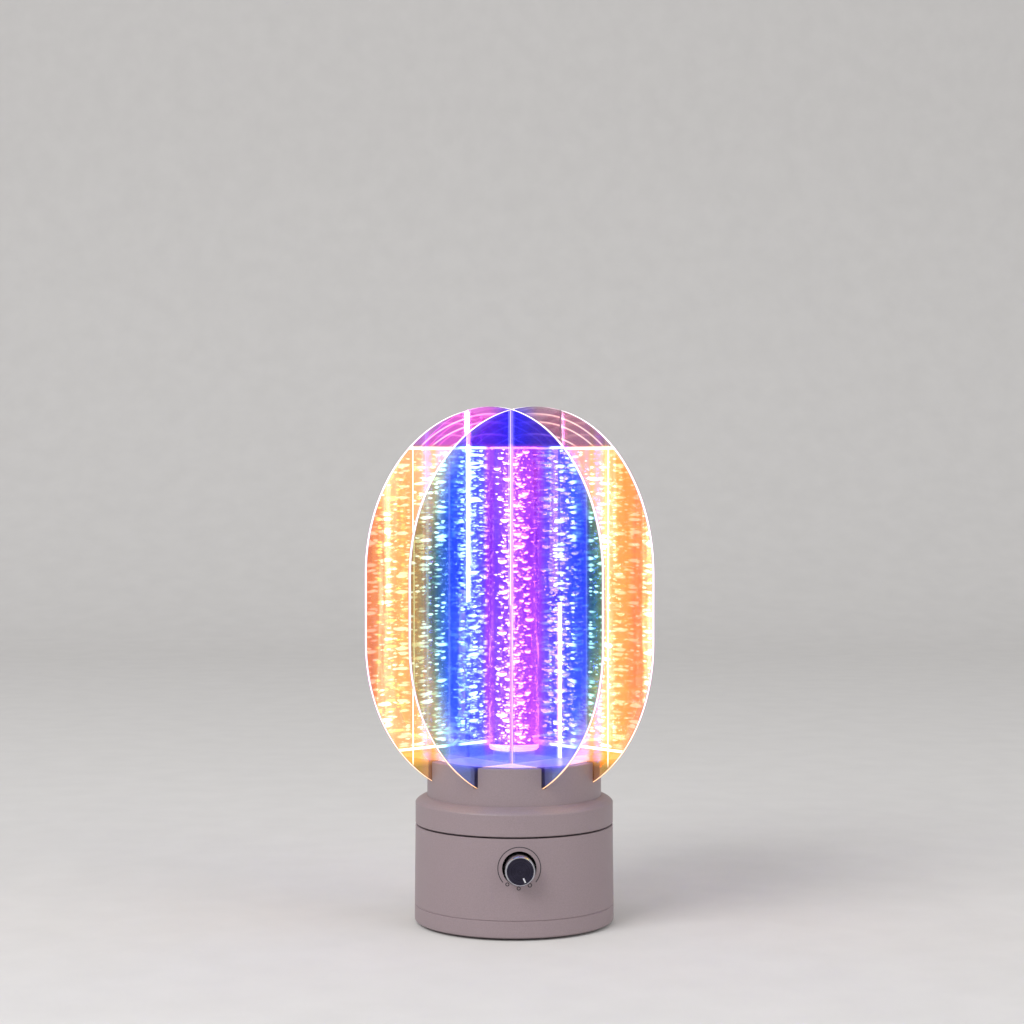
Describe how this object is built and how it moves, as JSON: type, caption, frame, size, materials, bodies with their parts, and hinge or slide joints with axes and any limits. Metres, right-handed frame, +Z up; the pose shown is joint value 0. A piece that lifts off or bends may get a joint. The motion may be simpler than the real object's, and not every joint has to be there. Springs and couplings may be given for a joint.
{
  "type": "night light",
  "caption": "Turntable night light: a round base with a press-and-turn dimmer carries crossed oval dichroic plates around a lit bubble rod.",
  "frame": {"origin": "middle of the plane that the feet stand on, on the axis of the base", "axes": "+Z up along the axis of the base, -Y to the front, where the knob is, +X to the right as seen from the front"},
  "size_m": [0.1482, 0.1482, 0.2573],
  "materials": {
    "taupe_plastic": "fine satin moulding texture",
    "foot_rubber": "matt",
    "screw_steel": "zinc plated",
    "chassis_steel": "satin",
    "column_aluminium": "turned",
    "white_nylon": "as moulded",
    "spring_steel": "oiled",
    "board_green": "solder mask",
    "board_white": "white solder mask",
    "emitter_yellow": "clear dome over phosphor",
    "gearbox_brass": "milled",
    "motor_steel": "nickel plated",
    "black_parts": "moulded",
    "cell_sleeve": "shrink sleeve",
    "lead_red": "insulation",
    "lead_yellow": "insulation",
    "lead_white": "insulation",
    "lead_grey": "insulation",
    "socket_steel": "nickel plated",
    "knob_chrome": "polished skirt",
    "knob_dark": "spun, dark",
    "pointer_white": "paint",
    "opal_acrylic": "opal, lit from below",
    "clear_acrylic": "clear, full of air bubbles",
    "dichroic_acrylic": "clear sheet with a dichroic film"
  },
  "bodies": {
    "base": {"base_shell": "taupe_plastic", "bottom_cover": "taupe_plastic", "rubber_feet": "foot_rubber", "cover_screws": "screw_steel", "chassis_plate": "chassis_steel", "chassis_screws": "screw_steel", "light_column": "column_aluminium", "column_screws": "screw_steel", "thrust_washer": "white_nylon", "retaining_ring": "spring_steel", "light_board": "board_white", "light_emitter": "emitter_yellow", "motor_gearbox": "gearbox_brass", "motor_can": "motor_steel", "motor_screws": "screw_steel", "main_board": "board_green", "board_parts": "black_parts", "board_screws": "screw_steel", "cell": "cell_sleeve", "cell_strap": "spring_steel", "strap_screws": "screw_steel", "usb_board": "board_green", "usb_socket": "socket_steel", "dimmer_body": "black_parts", "dimmer_board": "board_green", "dimmer_screws": "screw_steel", "light_leads": "lead_red", "motor_leads": "lead_yellow", "cell_leads": "lead_red", "dimmer_leads": "lead_white", "usb_leads": "lead_grey"},
    "turntable": {"hub_gear": "white_nylon", "hub_screws": "screw_steel", "turntable_cap": "taupe_plastic", "deck": "opal_acrylic", "rod_seat": "opal_acrylic", "bubble_rod": "clear_acrylic", "plate_back_left": "dichroic_acrylic", "plate_front_right": "dichroic_acrylic", "plate_front_left": "dichroic_acrylic", "plate_back_right": "dichroic_acrylic"},
    "pinion": {"motor_shaft": "motor_steel", "drive_pinion": "white_nylon"},
    "plunger": {"press_plunger": "white_nylon"},
    "knob": {"dimmer_shaft": "motor_steel", "knob": "knob_chrome", "knob_face": "knob_dark", "knob_pointer": "pointer_white"}
  },
  "joints": [
    {"name": "turntable_spin", "type": "hinge", "parent": "base", "child": "turntable", "pos_m": [0, 0, 0.0499], "axis": [0, 0, 1], "continuous": true},
    {"name": "pinion_spin", "type": "hinge", "parent": "base", "child": "pinion", "pos_m": [-0.03091, -0.00828, 0.0519], "axis": [0, 0, 1], "continuous": true},
    {"name": "knob_press", "type": "slide", "parent": "base", "child": "plunger", "axis": [0, 1, 0], "range_m": [0, 0.0008], "stiffness_N_per_m": 800, "springref_m": -0.001},
    {"name": "knob_turn", "type": "hinge", "parent": "plunger", "child": "knob", "pos_m": [0, -0.0555, 0.035], "axis": [0, -1, 0], "range_deg": [0, 300]}
  ],
  "couplings": [
    {"joint": "pinion_spin", "follows": "turntable_spin", "ratio": -3}
  ]
}
